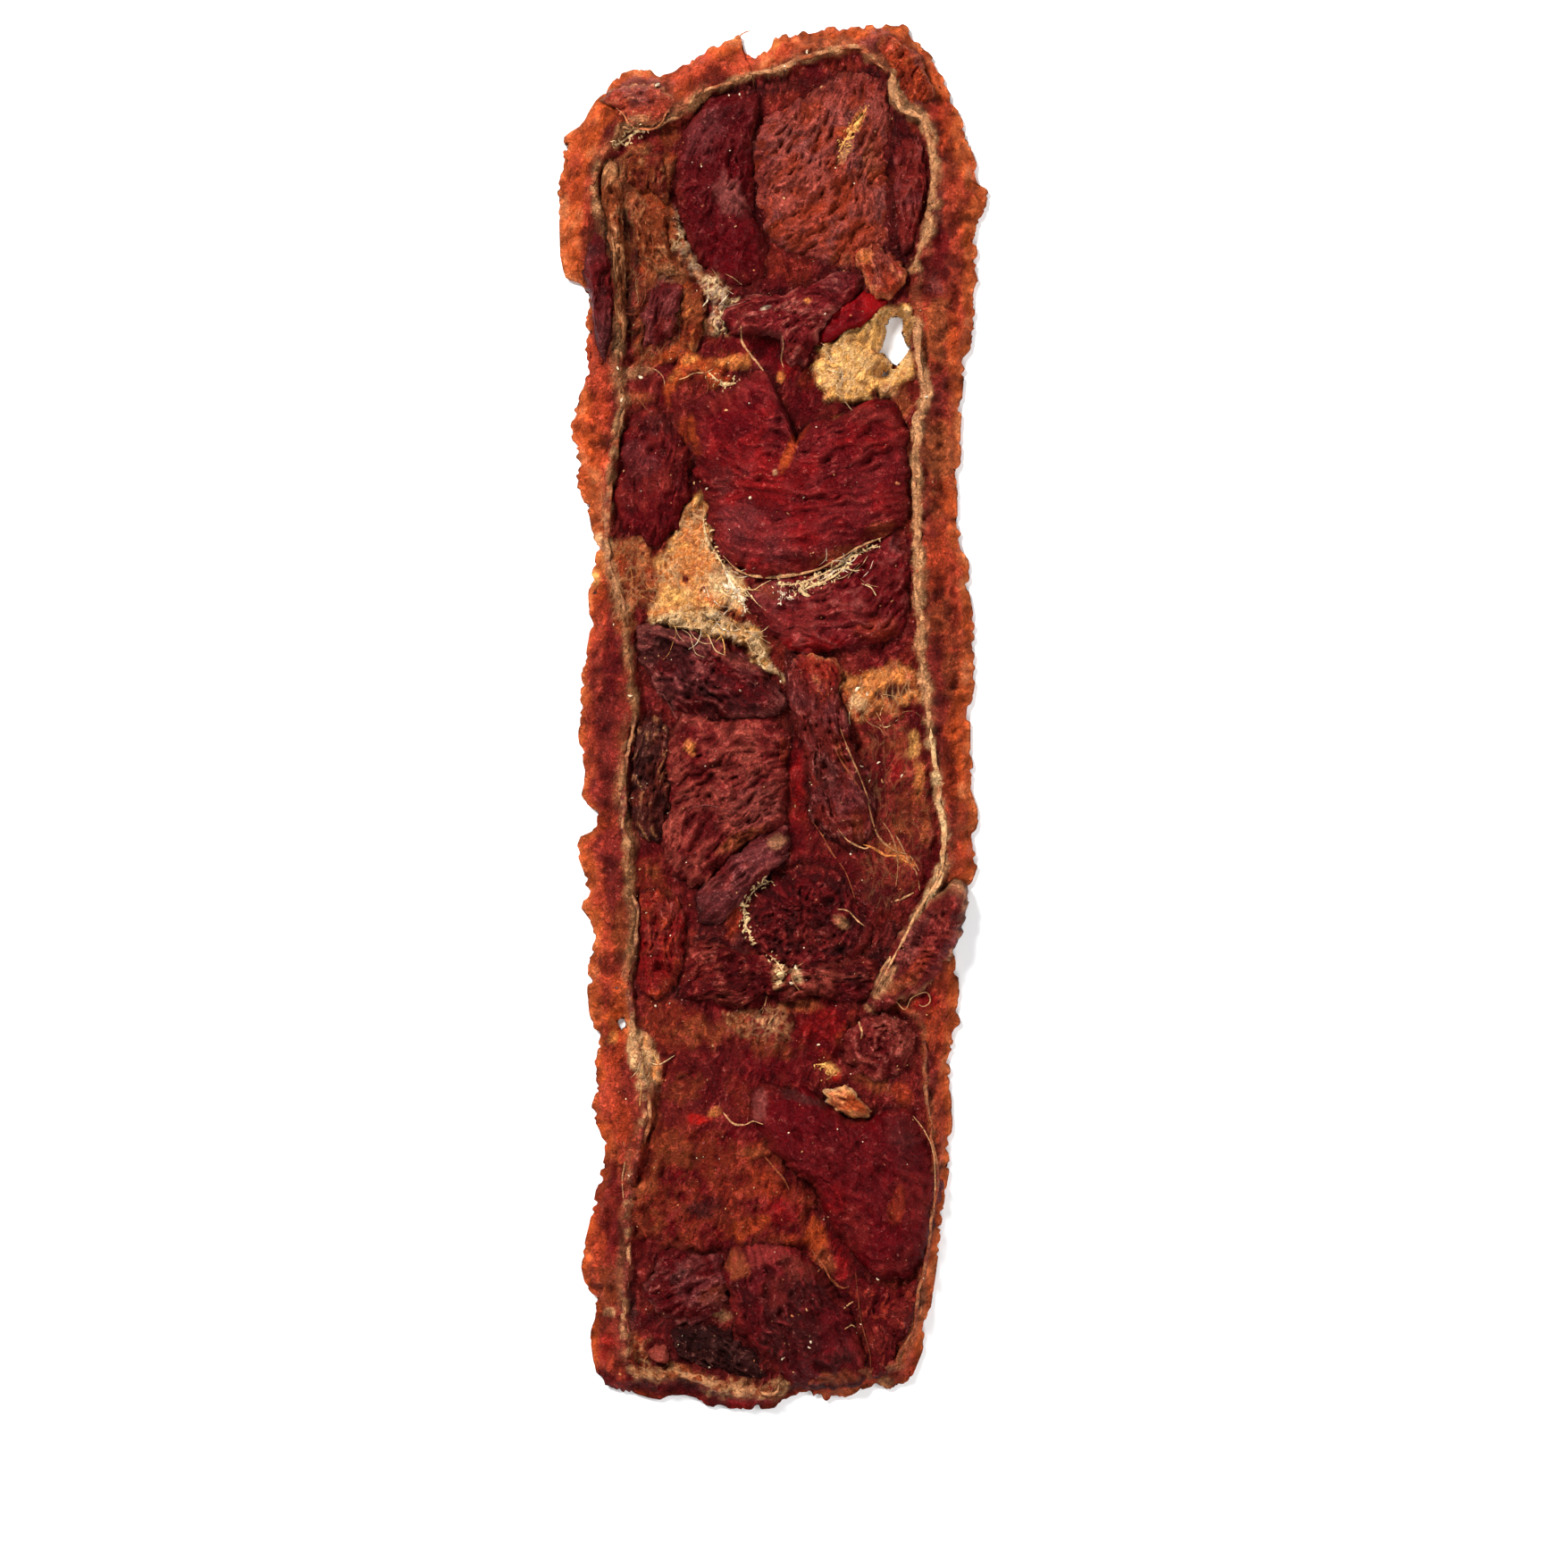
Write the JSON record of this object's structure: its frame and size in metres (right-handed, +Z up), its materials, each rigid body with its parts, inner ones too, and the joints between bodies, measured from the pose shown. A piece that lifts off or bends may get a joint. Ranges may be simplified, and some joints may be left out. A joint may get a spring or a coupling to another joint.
{
  "type": "venison jerky dog treat",
  "caption": "Flat strip of dried venison jerky for dogs, with a translucent torn rim round dark folded muscle and pale fat.",
  "frame": {"origin": "on the surface that the strip lies on, under the middle of its outline", "axes": "+Y along the strip towards its wider end, +X across it, +Z up out of the folded side"},
  "size_m": [0.0428, 0.1386, 0.0046],
  "materials": {
    "dried_meat": "air-dried meat: dark plum muscle with a dull sheen and fine fibres, amber translucent rim, cream fat"
  },
  "bodies": {
    "root": {"venison_jerky": "dried_meat"}
  },
  "joints": []
}
